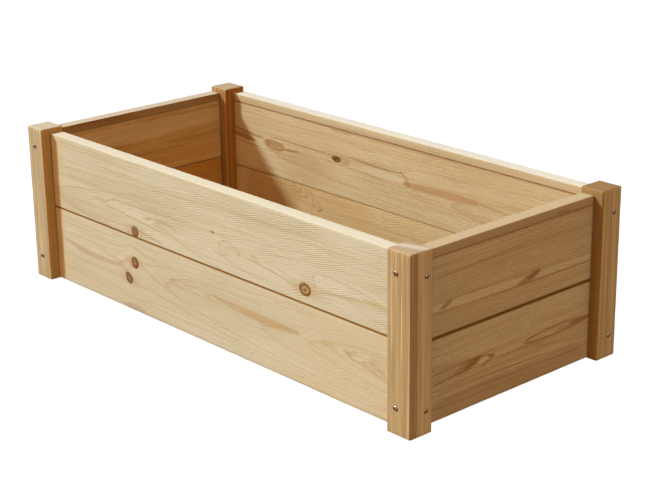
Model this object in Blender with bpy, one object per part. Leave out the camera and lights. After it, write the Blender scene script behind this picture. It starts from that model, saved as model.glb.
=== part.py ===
# Empty timber raised garden bed: four corner posts and two boards, one above the other,
# on each side, held by screws driven through the posts into the ends of the boards.
# Metres, +Z up. X runs along the length and Y from front to back. The feet stand at Z = 0,
# and the origin is under the middle of the bed.

import math

import bmesh
import bpy
from mathutils import Matrix, Quaternion, Vector

# Overall size, over the posts
bed_length = 1.000
bed_width = 0.480

# Corner posts: planed stock with eased edges, by its size along X and along Y. The front
# right post is a little wider along X than the others
post_size = {
    ("front", "left"): (0.047, 0.047),
    ("front", "right"): (0.050, 0.047),
    ("back", "left"): (0.047, 0.047),
    ("back", "right"): (0.047, 0.047),
}
post_height = 0.292
post_edge_round = 0.003
post_foot_round = 0.001

# Boards: they start a little above the ground and end below the post tops
board_thickness = 0.026
board_foot = 0.002
board_top = 0.2820
board_edge_round = 0.0013
joint_gap = 0.0005
fit_gap = 0.0003

# How far the outer face of each side's boards lies behind the outer faces of the posts
board_inset = {"front": 0.018, "right": 0.018, "back": 0.001, "left": 0.001}

# Height of the joint between the two boards of each side, which are ripped to slightly
# different widths from side to side
joint_height = {"front": 0.1429, "right": 0.1387, "back": 0.1338, "left": 0.1498}

# Fine milled line along the upper boards, and the face that it is on:
# +1 is the board face towards +X or +Y, and -1 the other one
line_below_top = 0.015
line_depth = 0.0010
line_bar_proud = 0.0001
line_side = {"front": 1, "right": 1, "back": -1, "left": 1}

# Screws: their heads stand on the outer faces of the posts
screw_length = 0.080
screw_radius = 0.0018
screw_tip = 0.007
head_radius = 0.0039
head_rim = 0.0006
head_dome = 0.0014
recess_length = 0.0044
recess_width = 0.0008
recess_depth = 0.0009
hole_radius = 0.0021
screw_sides = 16
hole_sides = 12

# Mean height of the upper and lower screws. Those that run along Y sit above those that
# run along X, so that they pass each other inside the post
screw_height = {"upper": 0.2546, "lower": 0.0412}
screw_stagger = 0.0047

# Distance from the outer face of the posts to the line of screws that holds each side
screw_inset = {"front": 0.033, "right": 0.031, "back": 0.018, "left": 0.021}

# Turn of the cross recess from one screw to the next, as driven by hand
recess_turn = math.radians(37)

# Cutters reach this far past what they cut
line_overrun = 0.010
hole_overrun = 0.001

# Facets of the rounded edges and of the domed head, and the sharpest edge shaded smooth
post_round_facets = 3
board_round_facets = 2
head_facets = 4
smooth_angle = math.radians(35)

# Linear colours of the pine, side by side from pale to warm, and of the plated steel
post_colour = (0.47, 0.29, 0.13)
board_colour = {
    "front": (0.66, 0.52, 0.33),
    "back": (0.56, 0.38, 0.20),
    "left": (0.50, 0.33, 0.17),
    "right": (0.50, 0.33, 0.17),
}
steel_colour = (0.55, 0.53, 0.50)
pine_roughness = 0.6
steel_roughness = 0.3

half_size = (bed_length / 2, bed_width / 2)
sign = {"front": -1, "left": -1, "back": 1, "right": 1}


def remove_scene_objects():
    for obj in list(bpy.data.objects):
        bpy.data.objects.remove(obj, do_unlink=True)


def plain_material(name, colour, roughness, metallic=0.0):
    material = bpy.data.materials.new(name)
    material.use_nodes = True
    shader = material.node_tree.nodes["Principled BSDF"]
    shader.inputs["Base Color"].default_value = (*colour, 1.0)
    shader.inputs["Roughness"].default_value = roughness
    shader.inputs["Metallic"].default_value = metallic
    material.diffuse_color = (*colour, 1.0)
    return material


def add_object(name, mesh, parent=None):
    obj = bpy.data.objects.new(name, mesh)
    bpy.context.scene.collection.objects.link(obj)
    obj.parent = parent
    return obj


def mesh_from(work, name):
    mesh = bpy.data.meshes.new(name)
    work.to_mesh(mesh)
    work.free()
    mesh.shade_smooth()
    mesh.set_sharp_from_angle(angle=smooth_angle)
    return mesh


def box_mesh(size):
    work = bmesh.new()
    bmesh.ops.create_cube(work, size=1.0)
    bmesh.ops.scale(work, vec=size, verts=work.verts)
    return work


def round_edges(work, edges, radius, segments):
    bmesh.ops.bevel(
        work,
        geom=edges,
        offset=radius,
        segments=segments,
        profile=0.5,
        affect="EDGES",
        clamp_overlap=True,
        material=-1,
    )


def make_post(name, corner, material, parent):
    """One corner post. corner is such as ("front", "right")."""
    size_x, size_y = post_size[corner]
    work = box_mesh((size_x, size_y, post_height))
    bottom = -post_height / 2
    upper_edges = [
        edge for edge in work.edges if max(vert.co.z for vert in edge.verts) > bottom
    ]
    round_edges(work, upper_edges, post_edge_round, post_round_facets)
    foot_level = bottom + post_foot_round / 2
    foot_edges = [
        edge
        for edge in work.edges
        if all(vert.co.z < foot_level for vert in edge.verts)
    ]
    round_edges(work, foot_edges, post_foot_round, 1)
    post = add_object(name, mesh_from(work, name), parent)
    post.data.materials.append(material)
    post.location = (
        sign[corner[1]] * (half_size[0] - size_x / 2),
        sign[corner[0]] * (half_size[1] - size_y / 2),
        post_height / 2,
    )
    return post


def board_place(side):
    """Where a side's boards run: the index of their long axis, both ends along it and the
    position of the middle of their thickness along the other axis."""
    offset = board_inset[side] + board_thickness / 2
    if side in ("front", "back"):
        long_axis = 0
        corners = (side, "left"), (side, "right")
    else:
        long_axis = 1
        corners = ("front", side), ("back", side)
    reach = half_size[long_axis] - fit_gap
    start = post_size[corners[0]][long_axis] - reach
    end = reach - post_size[corners[1]][long_axis]
    return long_axis, (start, end), sign[side] * (half_size[1 - long_axis] - offset)


def make_board(name, side, low, high, material, parent):
    long_axis, (start, end), middle = board_place(side)
    size = [board_thickness, board_thickness, high - low]
    size[long_axis] = end - start
    work = box_mesh(size)
    round_edges(work, list(work.edges), board_edge_round, board_round_facets)
    board = add_object(name, mesh_from(work, name), parent)
    board.data.materials.append(material)
    location = [0.0, 0.0, (low + high) / 2]
    location[long_axis] = (start + end) / 2
    location[1 - long_axis] = middle
    board.location = location
    return board


def hide_cutter(cutter):
    cutter.hide_render = True
    cutter.display_type = "WIRE"
    return cutter


def line_cutter(side, parent):
    """A square bar turned on its edge, which mills a V-shaped line along a board's face."""
    long_axis, (start, end), middle = board_place(side)
    bar_radius = line_depth + line_bar_proud
    work = bmesh.new()
    bmesh.ops.create_cone(
        work,
        cap_ends=True,
        segments=4,
        radius1=bar_radius,
        radius2=bar_radius,
        depth=end - start + 2 * line_overrun,
    )
    along = Vector((1, 0, 0)) if long_axis == 0 else Vector((0, 1, 0))
    bmesh.ops.rotate(
        work,
        matrix=Vector((0, 0, 1)).rotation_difference(along).to_matrix(),
        verts=work.verts,
    )
    cutter = add_object("line_cutter_" + side, mesh_from(work, "line_cutter"), parent)
    location = [0.0, 0.0, board_top - line_below_top]
    location[long_axis] = (start + end) / 2
    face = middle + line_side[side] * board_thickness / 2
    location[1 - long_axis] = face + line_side[side] * line_bar_proud
    cutter.location = location
    return hide_cutter(cutter)


def cut(target, cutter):
    boolean = target.modifiers.new("cut " + cutter.name, "BOOLEAN")
    boolean.operation = "DIFFERENCE"
    boolean.solver = "EXACT"
    boolean.object = cutter


def screw_profile():
    """Half outline of the screw, from the middle of the head to the tip. Z = 0 is the
    underside of the head and the tip points to -Z."""
    points = []
    for step in range(head_facets + 1):
        angle = math.radians(90) * step / head_facets
        radius = head_radius * math.sin(angle)
        points.append((radius, head_rim + head_dome * math.cos(angle)))
    points += [
        (head_radius, 0.0),
        (screw_radius, 0.0),
        (screw_radius, screw_tip - screw_length),
        (0.0, -screw_length),
    ]
    return points


def make_screw_mesh(material):
    """One mesh for all the screws, with its cross recess cut."""
    work = bmesh.new()
    verts = [work.verts.new((radius, 0, height)) for radius, height in screw_profile()]
    edges = [work.edges.new(pair) for pair in zip(verts, verts[1:])]
    bmesh.ops.spin(
        work,
        geom=verts + edges,
        axis=(0, 0, 1),
        cent=(0, 0, 0),
        angle=math.radians(360),
        steps=screw_sides,
        use_merge=True,
    )
    bmesh.ops.remove_doubles(work, verts=work.verts, dist=1e-6)
    bmesh.ops.recalc_face_normals(work, faces=work.faces)
    blank = add_object("screw_blank", mesh_from(work, "screw_blank"))

    head_top = head_rim + head_dome
    slots = []
    for turn in (0, 1):
        size = [recess_length, recess_width, 2 * recess_depth]
        if turn:
            size[0], size[1] = size[1], size[0]
        slot = add_object("recess_cutter", mesh_from(box_mesh(size), "recess_cutter"))
        slot.location = (0, 0, head_top)
        cut(blank, hide_cutter(slot))
        slots.append(slot)
    bpy.context.view_layer.update()
    graph = bpy.context.evaluated_depsgraph_get()
    mesh = bpy.data.meshes.new_from_object(blank.evaluated_get(graph))
    mesh.name = "screw"
    mesh.materials.clear()
    mesh.materials.append(material)
    for obj in [blank] + slots:
        bpy.data.objects.remove(obj, do_unlink=True)
    return mesh


def place_screw(number, corner, face, level, mesh, posts, boards, parent):
    """Drive one screw through a post. corner is such as ("front", "right"), and face is the
    outer face of that post that the head stands on, so it is one of the two."""
    across = corner[1] if face == corner[0] else corner[0]
    run_axis = 1 if face in ("front", "back") else 0
    centre = [0.0, 0.0, screw_height[level]]
    centre[2] += (0.5 if run_axis == 1 else -0.5) * screw_stagger
    centre[run_axis] = sign[face] * half_size[run_axis]
    centre[1 - run_axis] = sign[across] * (half_size[1 - run_axis] - screw_inset[across])
    out = Vector((0, 0, 0))
    out[run_axis] = sign[face]

    name = "_".join(("screw", corner[0], corner[1], "post", face, level))
    screw = add_object(name, mesh, parent)
    turned = out.to_track_quat("Z", "Y") @ Quaternion((0, 0, 1), recess_turn * number)
    screw.rotation_mode = "QUATERNION"
    screw.rotation_quaternion = turned
    screw.location = Vector(centre) + out * fit_gap

    depth = screw_length + 2 * hole_overrun
    work = bmesh.new()
    bmesh.ops.create_cone(
        work,
        cap_ends=True,
        segments=hole_sides,
        radius1=hole_radius,
        radius2=hole_radius,
        depth=depth,
        matrix=Matrix.Translation((0, 0, hole_overrun - depth / 2)),
    )
    drill = add_object("drill_" + name, mesh_from(work, "drill"), parent)
    drill.rotation_mode = "QUATERNION"
    drill.rotation_quaternion = out.to_track_quat("Z", "Y")
    drill.location = centre
    hide_cutter(drill)
    cut(posts[corner], drill)
    cut(boards[across, level], drill)
    return screw


remove_scene_objects()
frame = add_object("raised_bed", None)

posts = {}
for corner in post_size:
    post_name = "post_" + "_".join(corner)
    finish = plain_material(post_name + "_pine", post_colour, pine_roughness)
    posts[corner] = make_post(post_name, corner, finish, frame)

boards = {}
for side in ("front", "right", "back", "left"):
    joint = joint_height[side]
    spans = {
        "lower": (board_foot, joint - joint_gap / 2),
        "upper": (joint + joint_gap / 2, board_top),
    }
    for level, (low, high) in spans.items():
        board_name = "board_" + side + "_" + level
        finish = plain_material(
            board_name + "_pine", board_colour[side], pine_roughness
        )
        boards[side, level] = make_board(board_name, side, low, high, finish, frame)
    cut(boards[side, "upper"], line_cutter(side, frame))

steel = plain_material("plated_steel", steel_colour, steel_roughness, 1.0)
screw_mesh = make_screw_mesh(steel)
number = 0
for corner in posts:
    for face in corner:
        for level in ("upper", "lower"):
            place_screw(number, corner, face, level, screw_mesh, posts, boards, frame)
            number += 1
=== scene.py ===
# Looks of an empty raised garden bed of pine: four corner posts, eight boards and sixteen screws.
# Every piece is modelled again in detail on the place and size of its solid in the frame.

import math

import bmesh
import bpy
from mathutils import Matrix, Vector, noise


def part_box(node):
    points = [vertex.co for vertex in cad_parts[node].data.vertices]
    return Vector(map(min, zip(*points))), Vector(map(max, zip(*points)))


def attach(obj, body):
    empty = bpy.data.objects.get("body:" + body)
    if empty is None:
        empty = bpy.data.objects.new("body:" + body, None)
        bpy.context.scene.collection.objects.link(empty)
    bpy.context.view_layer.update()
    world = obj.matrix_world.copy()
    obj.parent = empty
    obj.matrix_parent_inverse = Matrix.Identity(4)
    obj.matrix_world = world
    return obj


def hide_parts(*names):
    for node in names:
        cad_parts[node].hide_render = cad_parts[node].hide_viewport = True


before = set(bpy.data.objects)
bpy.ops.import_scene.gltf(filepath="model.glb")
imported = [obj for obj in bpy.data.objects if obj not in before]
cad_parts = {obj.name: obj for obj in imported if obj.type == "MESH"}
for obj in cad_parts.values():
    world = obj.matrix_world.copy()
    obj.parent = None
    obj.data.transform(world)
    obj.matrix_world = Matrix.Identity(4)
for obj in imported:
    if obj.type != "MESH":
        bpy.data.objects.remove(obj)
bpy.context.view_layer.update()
print("frame loaded, nodes:", len(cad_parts))

scene = bpy.context.scene
axisX = Vector((1, 0, 0))
axisY = Vector((0, 1, 0))
axisZ = Vector((0, 0, 1))
facingFront = -axisY
facingRight = axisX
millimetre = 0.001


# Small helpers that lay out shader nodes. A signal is the output of a node, ready for sums

class Signal:
    def __init__(self, socket):
        self.socket = socket

    def __add__(self, other):
        return maths("ADD", self, other)

    def __sub__(self, other):
        return maths("SUBTRACT", self, other)

    def __mul__(self, other):
        return maths("MULTIPLY", self, other)

    def __truediv__(self, other):
        return maths("DIVIDE", self, other)

    def __pow__(self, other):
        return maths("POWER", self, other)

    def __abs__(self):
        return maths("ABSOLUTE", self)


def put(value, socket):
    if isinstance(value, Signal):
        socket.id_data.links.new(value.socket, socket)
    else:
        socket.default_value = value


def treeOf(values):                         # the node tree of the first signal among the values
    return next(value.socket.id_data for value in values if isinstance(value, Signal))


def addNode(tree, kind, output, settings=None, values=None):     # gives one output of the new node
    made = tree.nodes.new(kind)
    for key, value in (settings or {}).items():
        setattr(made, key, value)
    for key, value in (values or {}).items():
        put(value, made.inputs[key])
    return Signal(made.outputs[output])


def maths(operation, *values):
    numbered = dict(enumerate(values))
    return addNode(treeOf(values), "ShaderNodeMath", "Value", {"operation": operation}, numbered)


def timesPlus(first, second, third):
    return maths("MULTIPLY_ADD", first, second, third)


def vectorMaths(operation, *values):
    output = "Value" if operation in ("LENGTH", "DOT_PRODUCT") else "Vector"
    numbered = dict(enumerate(values))
    return addNode(treeOf(values), "ShaderNodeVectorMath", output, {"operation": operation}, numbered)


def facing(normal, direction):              # 1 where the surface looks in the direction
    return vectorMaths("DOT_PRODUCT", normal, tuple(direction))


def ramp(value, low, high, first=0.0, last=1.0):       # eased step between low and high
    values = {"Value": value, "From Min": low, "From Max": high, "To Min": first, "To Max": last}
    settings = {"interpolation_type": "SMOOTHSTEP"}
    return addNode(treeOf([value]), "ShaderNodeMapRange", "Result", settings, values)


def softBand(value, low, high, soft):
    return ramp(value, low - soft, low + soft) * ramp(value, high + soft, high - soft)


def tint(factor, first, second, kind="MIX"):
    settings = {"data_type": "RGBA", "blend_type": kind}
    return addNode(treeOf([factor]), "ShaderNodeMix", 2, settings, {0: factor, 6: first, 7: second})


def whole(colour):
    return (*colour, 1.0)


def blend(colour, mask, share, second):
    return tint(mask * share, colour, whole(second))


def separate(vector):
    socket = addNode(treeOf([vector]), "ShaderNodeSeparateXYZ", "X", None, {"Vector": vector}).socket
    return [Signal(output) for output in socket.node.outputs]


def combine(x, y, z):
    return addNode(treeOf([x, y, z]), "ShaderNodeCombineXYZ", "Vector", None, {"X": x, "Y": y, "Z": z})


def stretchedNoise(vector, stretch, detail, seed):
    values = {"Vector": vectorMaths("MULTIPLY", vector, stretch), "W": seed, "Scale": 1.0, "Detail": detail}
    return addNode(treeOf([vector]), "ShaderNodeTexNoise", "Fac", {"noise_dimensions": "4D"}, values)


def bumpFrom(height, distance):
    values = {"Strength": 1.0, "Distance": distance, "Height": height}
    return addNode(treeOf([height]), "ShaderNodeBump", "Normal", None, values)


def startGroup(name, inputs):               # an input without a number takes a vector
    tree = bpy.data.node_groups.new(name, "ShaderNodeTree")
    for label, value in inputs.items():
        kind = "NodeSocketVector" if value is None else "NodeSocketFloat"
        socket = tree.interface.new_socket(label, in_out="INPUT", socket_type=kind)
        if value is not None:
            socket.default_value = value
    given = tree.nodes.new("NodeGroupInput").outputs
    return tree, {label: Signal(given[label]) for label in inputs}


def endGroup(tree, found):
    for label in found:
        kind = "NodeSocketVector" if label == "Vector" else "NodeSocketFloat"
        tree.interface.new_socket(label, in_out="OUTPUT", socket_type=kind)
    result = tree.nodes.new("NodeGroupOutput").inputs
    for label, signal in found.items():
        put(signal, result[label])
    return tree


def useGroup(group, values):
    made = treeOf(values.values()).nodes.new("ShaderNodeGroup")
    made.node_tree = group
    for key, value in values.items():
        put(value, made.inputs[key])
    return {output.name: Signal(output) for output in made.outputs}


def newMaterial(name):
    material = bpy.data.materials.new(name)
    material.use_nodes = True
    return material, material.node_tree, material.node_tree.nodes["Principled BSDF"].inputs


# Shared effect: growth rings of a log. X runs with the grain, Y across the face, Z into the wood

def buildRings():
    tree, given = startGroup("growthRings", {
        "Vector": None, "Pith Height": 0.0, "Pith Depth": -0.06, "Tilt Height": 0.0, "Tilt Depth": 0.0,
        "Ring Width": 0.004, "Wander": 0.006, "Seed": 0.0,
    })
    vector, wander, seed = given["Vector"], given["Wander"], given["Seed"]
    x, y, z = separate(vector)
    drift = (stretchedNoise(vector, (3.1, 9.0, 9.0), 1.0, seed) - 0.5) * wander
    sway = (stretchedNoise(vector, (2.3, 7.0, 7.0), 1.0, seed + 5.3) - 0.5) * wander
    offY = y - timesPlus(x, given["Tilt Height"], given["Pith Height"]) + drift
    offZ = z - timesPlus(x, given["Tilt Depth"], given["Pith Depth"]) + sway
    radius = vectorMaths("LENGTH", combine(0.0, offY, offZ))
    shake = stretchedNoise(vector, (7.0, 34.0, 34.0), 2.0, seed + 2.1)
    phase = radius / given["Ring Width"] + (shake - 0.5) * 0.5
    turn = maths("FRACT", phase)            # 0 to 1 from spring to summer
    year = maths("FLOOR", phase)
    chance = addNode(tree, "ShaderNodeTexWhiteNoise", "Value", {"noise_dimensions": "1D"}, {"W": year + seed})
    late = turn ** 2.6 * ramp(turn, 1.0, 0.9)
    line = ramp(turn, 0.8, 0.93) * ramp(turn, 1.0, 0.93)
    return endGroup(tree, {
        "Ring": late * timesPlus(chance, 0.75, 0.35),
        "Line": line * ramp(chance, 0.35, 0.95),
        "Tone": stretchedNoise(vector, (2.6, 19.0, 19.0), 2.0, seed + 8.8),
        "Fibre": stretchedNoise(vector, (11.0, 620.0, 620.0), 2.0, seed),
        "Vein": stretchedNoise(vector, (2.0, 300.0, 300.0), 2.0, seed + 4.4),
    })


# Shared effect: a knot that goes through the board, with the grain led round it

def buildKnot():
    tree, given = startGroup("boardKnot", {
        "Vector": None, "Centre": None, "Half Length": 0.008, "Half Height": 0.008, "Rough": 0.2,
        "Shell Radius": 1.8, "Shell Side": 1.0,
    })
    x, y, z = separate(vectorMaths("SUBTRACT", given["Vector"], given["Centre"]))
    across = x / given["Half Length"]
    up = y / given["Half Height"]
    waver = stretchedNoise(combine(x, y, 0.0), (170.0, 170.0, 1.0), 2.0, given["Half Length"])
    radius = vectorMaths("LENGTH", combine(across, up, 0.0))        # 1 at the knot's edge
    radius = timesPlus((waver - 0.5) * given["Rough"], 2.0, radius)
    wave = maths("SINE", timesPlus(waver, 7.0, radius * 9.0))
    beside = across * given["Shell Side"] / radius
    away = abs(radius - given["Shell Radius"])
    near = maths("EXPONENT", ((across / 2.7) ** 2.0 + abs(up / 2.4)) * -1.0)
    return endGroup(tree, {
        "Vector": vectorMaths("SUBTRACT", given["Vector"], combine(0.0, near * y * 0.86, 0.0)),
        "Knot": ramp(radius, 1.12, 0.86),
        "Rim": ramp(radius, 0.62, 0.92) * ramp(radius, 1.25, 0.98),
        "Rings": timesPlus(wave, 0.5, 0.5),
        "Pith": ramp(radius, 0.38, 0.12),
        "Halo": ramp(vectorMaths("LENGTH", combine(across * 0.42, up, 0.0)), 1.8, 0.5),
        "Side": ramp(across - up, -0.1, 0.9),
        "Shell": ramp(away, 0.17, 0.04) * ramp(beside, 0.45, 0.80),
    })


# Shared effect: one long streak, where the face runs along a single summer ring

def buildStreak():
    tree, given = startGroup("grainStreak", {
        "Vector": None, "Start": None, "Finish": None, "Thickness": 0.008, "Bow": 0.0, "Fade": 0.1,
        "Blunt": 0.55, "Waver": 0.5,
    })
    runX, runY = separate(vectorMaths("SUBTRACT", given["Finish"], given["Start"]))[:2]
    x, y = separate(vectorMaths("SUBTRACT", given["Vector"], given["Start"]))[:2]
    share = x / runX
    arch = maths("MAXIMUM", share * maths("SUBTRACT", 1.0, share) * 4.0, 0.0001)
    middle = timesPlus(arch, given["Bow"], share * runY)
    half = arch ** given["Blunt"] * 0.5 * given["Thickness"]
    away = abs(y - middle) / half
    mask = ramp(timesPlus(given["Waver"] - 0.5, 0.8, away), 1.15, 0.78)
    starts = ramp(share, 0.0, given["Fade"])
    ends = ramp(share, 1.0, maths("SUBTRACT", 1.0, given["Fade"]))
    return endGroup(tree, {"Mask": mask * (starts * ends)})


# Shared effect: a tongue of nested arcs, where the face cuts through the crest of some rings

def buildTongue():
    tree, given = startGroup("grainTongue", {
        "Vector": None, "Tip": None, "Reach": 0.1, "Spread": 0.015, "Slope": 0.0, "Arcs": 3.0, "Waver": 0.5,
    })
    x, y = separate(vectorMaths("SUBTRACT", given["Vector"], given["Tip"]))[:2]
    share = x / given["Reach"]              # a negative reach opens to the left
    up = (y - x * given["Slope"]) / given["Spread"]
    level = timesPlus(given["Waver"] - 0.5, 0.22, share - up * up)
    turn = maths("FRACT", level * given["Arcs"])
    line = ramp(turn, 0.0, 0.12) * ramp(turn, 0.55, 0.16)
    within = ramp(level, -0.01, 0.03) * ramp(share, 1.0, 0.55)
    return endGroup(tree, {"Mask": line * within})


# Shared effect: the fine ripple that the saw left, slightly across the grain

def buildRipple():
    tree, given = startGroup("sawnRipple", {"Vector": None, "Slant": 0.16, "Period": 0.0034, "Seed": 0.0})
    seed = given["Seed"]
    x, y, z = separate(given["Vector"])
    y = y - x * given["Slant"]
    slanted = combine(x, y, z)
    sway = stretchedNoise(slanted, (19.0, 24.0, 40.0), 1.0, seed)
    phase = timesPlus(sway - 0.5, 2.6, y / given["Period"])
    dashes = stretchedNoise(slanted, (105.0, 240.0, 60.0), 0.0, seed + 3.3)
    patches = stretchedNoise(slanted, (9.0, 26.0, 20.0), 0.0, seed + 7.1)
    strength = ramp(dashes, 0.36, 0.58) * ramp(patches, 0.34, 0.58, 0.3, 1.0)
    wave = maths("SINE", phase * math.tau) * strength
    return endGroup(tree, {"Height": timesPlus(wave, 0.5, 0.5), "Shade": ramp(wave, 0.3, -0.5)})


# Shared effect: how near a point is to the edges of its piece, for wear

def buildWear():
    tree, given = startGroup("edgeWear", {"Vector": None, "Low": None, "High": None, "Reach": 0.004})
    under = separate(vectorMaths("SUBTRACT", given["Vector"], given["Low"]))
    over = separate(vectorMaths("SUBTRACT", given["High"], given["Vector"]))
    near = [maths("MINIMUM", *pair) for pair in zip(under, over)]
    lowest = maths("MINIMUM", near[0], maths("MINIMUM", near[1], near[2]))
    highest = maths("MAXIMUM", near[0], maths("MAXIMUM", near[1], near[2]))
    second = near[0] + (near[1] + near[2]) - (lowest + highest)      # the middle one is small near an edge
    broken = stretchedNoise(given["Vector"], (90.0, 90.0, 90.0), 2.0, 1.0)
    second = second * timesPlus(broken, 1.6, 0.4)
    return endGroup(tree, {"Edge": ramp(second, given["Reach"], 0.0)})


ringsGroup = buildRings()
knotGroup = buildKnot()
streakGroup = buildStreak()
tongueGroup = buildTongue()
rippleGroup = buildRipple()
wearGroup = buildWear()
print("shared effects built")


# Pine material. The relief is in millimetres, and shares say how strongly a colour is laid on

pineLook = {
    "pale": (0.738, 0.594, 0.381),          # spring wood
    "warm": (0.500, 0.320, 0.135),          # summer wood
    "streak": (0.520, 0.330, 0.155),
    "halo": (0.560, 0.330, 0.130),          # round a knot
    "endWood": (0.420, 0.310, 0.200),
    # painted light on the top faces: their own colour, and how it varies
    "paintedTopColour": (0.684, 0.542, 0.400), "paintedTopVaries": (1.00, 1.03, 0.92),
    "grooveShade": (0.250, 0.085, 0.008),         # painted shade in the milled line
    "ringShare": 0.25, "lineShare": 0.35, "toneShare": 0.22, "fibreShare": 0.20, "veinShare": 0.12,
    "rippleShare": 0.50, "ripplePeriod": 0.0034, "slant": 0.16,
    "grainShare": 0.26, "grainFine": 150.0, "grainDeep": 60.0, "overShare": 0.0,
    "ringWidth": 0.0052, "pithHeight": 0.07, "pithDepth": -0.055, "tiltHeight": 0.0, "tiltDepth": 0.03,
    "wander": 0.012, "seed": 0.0, "paintedTopShare": 0.0, "innerShade": (1.0, 1.0, 1.0),
    "wearShare": 0.14, "wearReach": 0.0035, "roughLow": 0.52, "roughHigh": 0.72, "shine": 0.08,
    "rippleRelief": 0.26, "fibreRelief": 0.05, "ringRelief": 0.10, "knotRelief": 0.30,
}


def pineMaterial(name, place, marks, look):
    look = {**pineLook, **look}
    seed, warm = look["seed"], look["warm"]
    along, across = place["along"], place["across"]
    depth = along.cross(across)
    material, tree, shader = newMaterial(name)
    point = addNode(tree, "ShaderNodeTexCoord", "Object")
    normal = addNode(tree, "ShaderNodeNewGeometry", "Normal")
    turn = Matrix((along, across, depth)).transposed().to_euler()
    grain = addNode(tree, "ShaderNodeMapping", "Vector", {"vector_type": "TEXTURE"},
                    {"Vector": point, "Location": place["centre"], "Rotation": turn})
    grainX, grainY, grainZ = separate(grain)
    onFace = ramp(abs(facing(normal, depth)), 0.5, 0.9)
    onInside = ramp(facing(normal, place["inward"]), 0.5, 0.9)

    bent = grain                            # the grain led round the knots
    knots = []
    for knot in marks.get("knots", ()):
        masks = useGroup(knotGroup, {
            "Vector": bent, "Centre": (knot["along"], knot["across"], 0.0),
            "Half Length": knot["halfLength"], "Half Height": knot["halfHeight"], "Rough": knot["rough"],
            "Shell Radius": knot["shellRadius"], "Shell Side": knot["shellSide"],
        })
        bent = masks["Vector"]
        knots.append((knot, masks))

    rings = useGroup(ringsGroup, {
        "Vector": bent, "Pith Height": look["pithHeight"], "Pith Depth": look["pithDepth"],
        "Tilt Height": look["tiltHeight"], "Tilt Depth": look["tiltDepth"],
        "Ring Width": look["ringWidth"], "Wander": look["wander"], "Seed": seed,
    })
    ripple = useGroup(rippleGroup, {
        "Vector": bent, "Slant": look["slant"], "Period": look["ripplePeriod"], "Seed": seed,
    })
    lines = stretchedNoise(bent, (2.4, look["grainFine"], look["grainDeep"]), 2.0, seed + 11.0)
    waver = stretchedNoise(bent, (30.0, 190.0, 60.0), 2.0, seed)

    colour = tint(rings["Ring"] * look["ringShare"], whole(look["pale"]), whole(warm))
    colour = blend(colour, rings["Line"], look["lineShare"], warm)
    colour = blend(colour, ramp(lines, 0.50, 0.62), look["grainShare"], look.get("grainColour", warm))
    colour = blend(colour, ramp(rings["Tone"], 0.42, 0.66), look["toneShare"], warm)
    colour = blend(colour, ramp(rings["Fibre"], 0.40, 0.68), look["fibreShare"], warm)
    colour = blend(colour, ramp(rings["Vein"], 0.50, 0.66), look["veinShare"], warm)

    for mark in marks.get("grain", ()):         # streaks and tongues, the broad ones first
        mask = useGroup(mark["group"], {"Vector": grain, "Waver": waver, **mark["inputs"]})["Mask"]
        if mark["inside"]:
            mask = mask * onInside
        colour = blend(colour, mask, mark["share"], mark["colour"])
    for band in marks.get("bands", ()):         # upright bands on one face of a post
        edge = timesPlus(waver - 0.5, 0.006, grainY if band["facing"] == facingFront else grainZ)
        mask = softBand(edge, band["from"], band["to"], band["soft"])
        onBand = ramp(facing(normal, band["facing"]), 0.25, 0.7)
        colour = blend(colour, mask * onBand, band["share"], band["colour"])
    if look["overShare"]:                   # crisp upright lines over the bands of a post
        over = stretchedNoise(bent, (1.6, 330.0, 330.0), 1.0, seed + 17.0)
        colour = blend(colour, ramp(over, 0.50, 0.58), look["overShare"], look["grainColour"])
    # painted shade in the troughs of the saw ripple
    colour = blend(colour, ripple["Shade"] * onFace, look["rippleShare"], warm)

    height = ripple["Height"] * onFace * look["rippleRelief"]
    height = timesPlus(rings["Fibre"], look["fibreRelief"], height)
    height = timesPlus(rings["Ring"], look["ringRelief"], height)
    for knot, masks in knots:
        colour = blend(colour, masks["Halo"], knot["halo"], look["halo"])
        colour = blend(colour, masks["Shell"], knot["shell"], look["halo"])
        inner = tint(masks["Side"], whole(knot["colour"]), whole(knot["side"]))
        inner = blend(inner, masks["Rings"], knot["rings"], knot["centre"])
        inner = blend(inner, masks["Pith"], knot["pith"], knot["pithColour"])
        colour = tint(masks["Knot"] * knot["share"], colour, inner)
        colour = blend(colour, masks["Rim"], knot["rim"], knot["rimColour"])
        relief = masks["Rings"] * masks["Knot"] * 0.4 - masks["Rim"]
        height = timesPlus(relief, look["knotRelief"], height)

    # painted shade: the inner face is tinted darker and oranger, as it lies in shade
    colour = tint(onInside, colour, whole(look["innerShade"]), "MULTIPLY")
    milled = marks.get("milled")
    if milled:                              # painted shade in the milled line and painted shadow just below it; the strip above the line is coloured darker
        line, reach = milled["height"], milled["halfWidth"]
        lineFace = ramp(grainZ * milled["side"], 0.010, 0.0115)
        above = ramp(grainY, line - 0.001, line + 0.001) * lineFace
        below = ramp(grainY, line - 0.009, line - 0.001) * lineFace * ramp(rings["Tone"], 0.40, 0.58)
        inLine = ramp(abs(grainY - line), reach, reach * 0.3) * lineFace
        colour = blend(colour, above, milled["above"], milled.get("aboveColour", warm))
        colour = blend(colour, below, milled["below"], look["streak"])
        colour = blend(colour, inLine, milled["share"], look["grooveShade"])
    for seams, where, core in (("ends", grainX, 0.3), ("joints", grainY, 0.35)):
        for seam in marks.get(seams, ()):   # painted shade where the board meets a post or the other board
            mask = ramp(abs(where - seam["at"]), seam["reach"], seam["reach"] * core)
            colour = blend(colour, mask, seam["share"], seam["colour"])

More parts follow.
